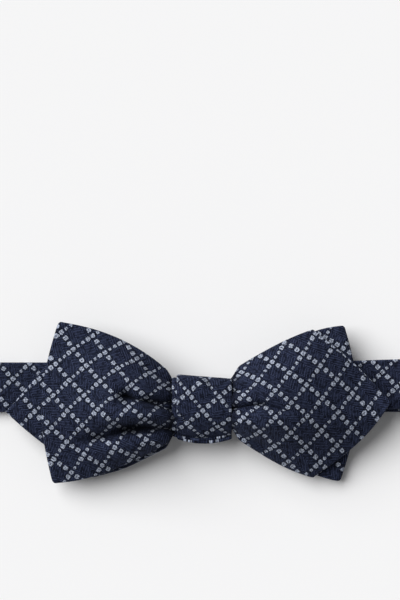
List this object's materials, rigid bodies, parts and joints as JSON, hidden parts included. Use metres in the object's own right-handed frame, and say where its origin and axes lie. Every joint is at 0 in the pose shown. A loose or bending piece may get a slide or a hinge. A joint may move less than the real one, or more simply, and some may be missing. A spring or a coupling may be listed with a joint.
{
  "type": "bow tie",
  "caption": "Tied self-tie bow tie with diamond-point ends and a check-woven cotton shell, its neckband folded flat behind the bow, with hook, eye and slider.",
  "frame": {"origin": "on the surface it lies on, under the middle of the bow", "axes": "+X along the neckband, to the right of the bow seen from the front; +Y up the bow as it is worn; +Z out of the bow's front, off the surface"},
  "size_m": [0.2476, 0.06, 0.0201],
  "materials": {
    "bow_cloth": "navy herringbone twill with a dotted pale-blue windowpane check, cut on the bias",
    "backing_cloth": "the same checked twill, on the back of the wings",
    "knot_cloth": "the same checked twill, drawn round the knot in two layers",
    "band_cloth": "the same checked twill, folded into the neckband",
    "interlining": "napped cotton interlining",
    "thread": "navy bartack thread",
    "hook": "nickel-plated, satin",
    "eye": "nickel-plated wire",
    "slider": "nickel-plated, satin"
  },
  "bodies": {
    "bow": {"band_crossing": "band_cloth", "front_blade_backing": "backing_cloth", "front_blade_face": "bow_cloth", "front_blade_interlining": "interlining", "front_loop_fold": "bow_cloth", "front_loop_over_backing": "backing_cloth", "front_loop_over_face": "bow_cloth", "front_loop_over_interlining": "interlining", "front_loop_under_backing": "backing_cloth", "front_loop_under_face": "bow_cloth", "front_loop_under_interlining": "interlining", "front_waist": "bow_cloth", "knot_lining": "knot_cloth", "knot_wrap": "knot_cloth", "rear_blade_backing": "backing_cloth", "rear_blade_face": "bow_cloth", "rear_blade_interlining": "interlining", "rear_loop_fold": "bow_cloth", "rear_loop_over_backing": "backing_cloth", "rear_loop_over_face": "bow_cloth", "rear_loop_over_interlining": "interlining", "rear_loop_under_backing": "backing_cloth", "rear_loop_under_face": "bow_cloth", "rear_loop_under_interlining": "interlining", "rear_waist": "bow_cloth", "left_band_front": "band_cloth", "left_band_front_interlining": "interlining", "right_band_front": "band_cloth", "right_band_front_interlining": "interlining", "left_band_fold": "band_cloth", "right_band_fold": "band_cloth"},
    "left_tail": {"left_band_back": "band_cloth", "left_band_back_interlining": "interlining", "left_end_loop": "band_cloth", "left_bartack": "thread"},
    "eye": {"eye": "eye"},
    "right_tail": {"right_band_back": "band_cloth", "right_band_back_interlining": "interlining", "strap_slack": "band_cloth"},
    "hook_carrier": {"strap_turn": "band_cloth"},
    "hook": {"hook": "hook"},
    "slider": {"slider": "slider", "slider_end_loop": "band_cloth", "slider_bartack": "thread", "strap_return": "band_cloth"}
  },
  "joints": [
    {"name": "left_band_unfold", "type": "hinge", "parent": "bow", "child": "left_tail", "pos_m": [-0.12178, 0.0055, 0.002], "axis": [0, 1, 0], "range_deg": [0, 180], "deforming": ["left_band_fold"]},
    {"name": "right_band_unfold", "type": "hinge", "parent": "bow", "child": "right_tail", "pos_m": [0.11853, 0.0055, 0.00525], "axis": [0, -1, 0], "range_deg": [0, 180], "deforming": ["right_band_fold"]},
    {"name": "hook_slide", "type": "slide", "parent": "right_tail", "child": "hook_carrier", "axis": [1, 0, 0], "range_m": [0, 0.026], "deforming": ["strap_slack"]},
    {"name": "slider_slide", "type": "slide", "parent": "hook_carrier", "child": "slider", "axis": [1, 0, 0], "range_m": [0, 0.026], "deforming": ["strap_return"]},
    {"name": "hook_swing", "type": "hinge", "parent": "hook_carrier", "child": "hook", "pos_m": [0.0315, 0.0055, 0.0032], "axis": [0, 1, 0], "range_deg": [-60, 25]},
    {"name": "eye_swing", "type": "hinge", "parent": "left_tail", "child": "eye", "pos_m": [-0.0286, 0.0055, 0.00165], "axis": [0, -1, 0], "range_deg": [-60, 40]}
  ],
  "couplings": [
    {"joint": "slider_slide", "follows": "hook_slide", "ratio": 1}
  ]
}
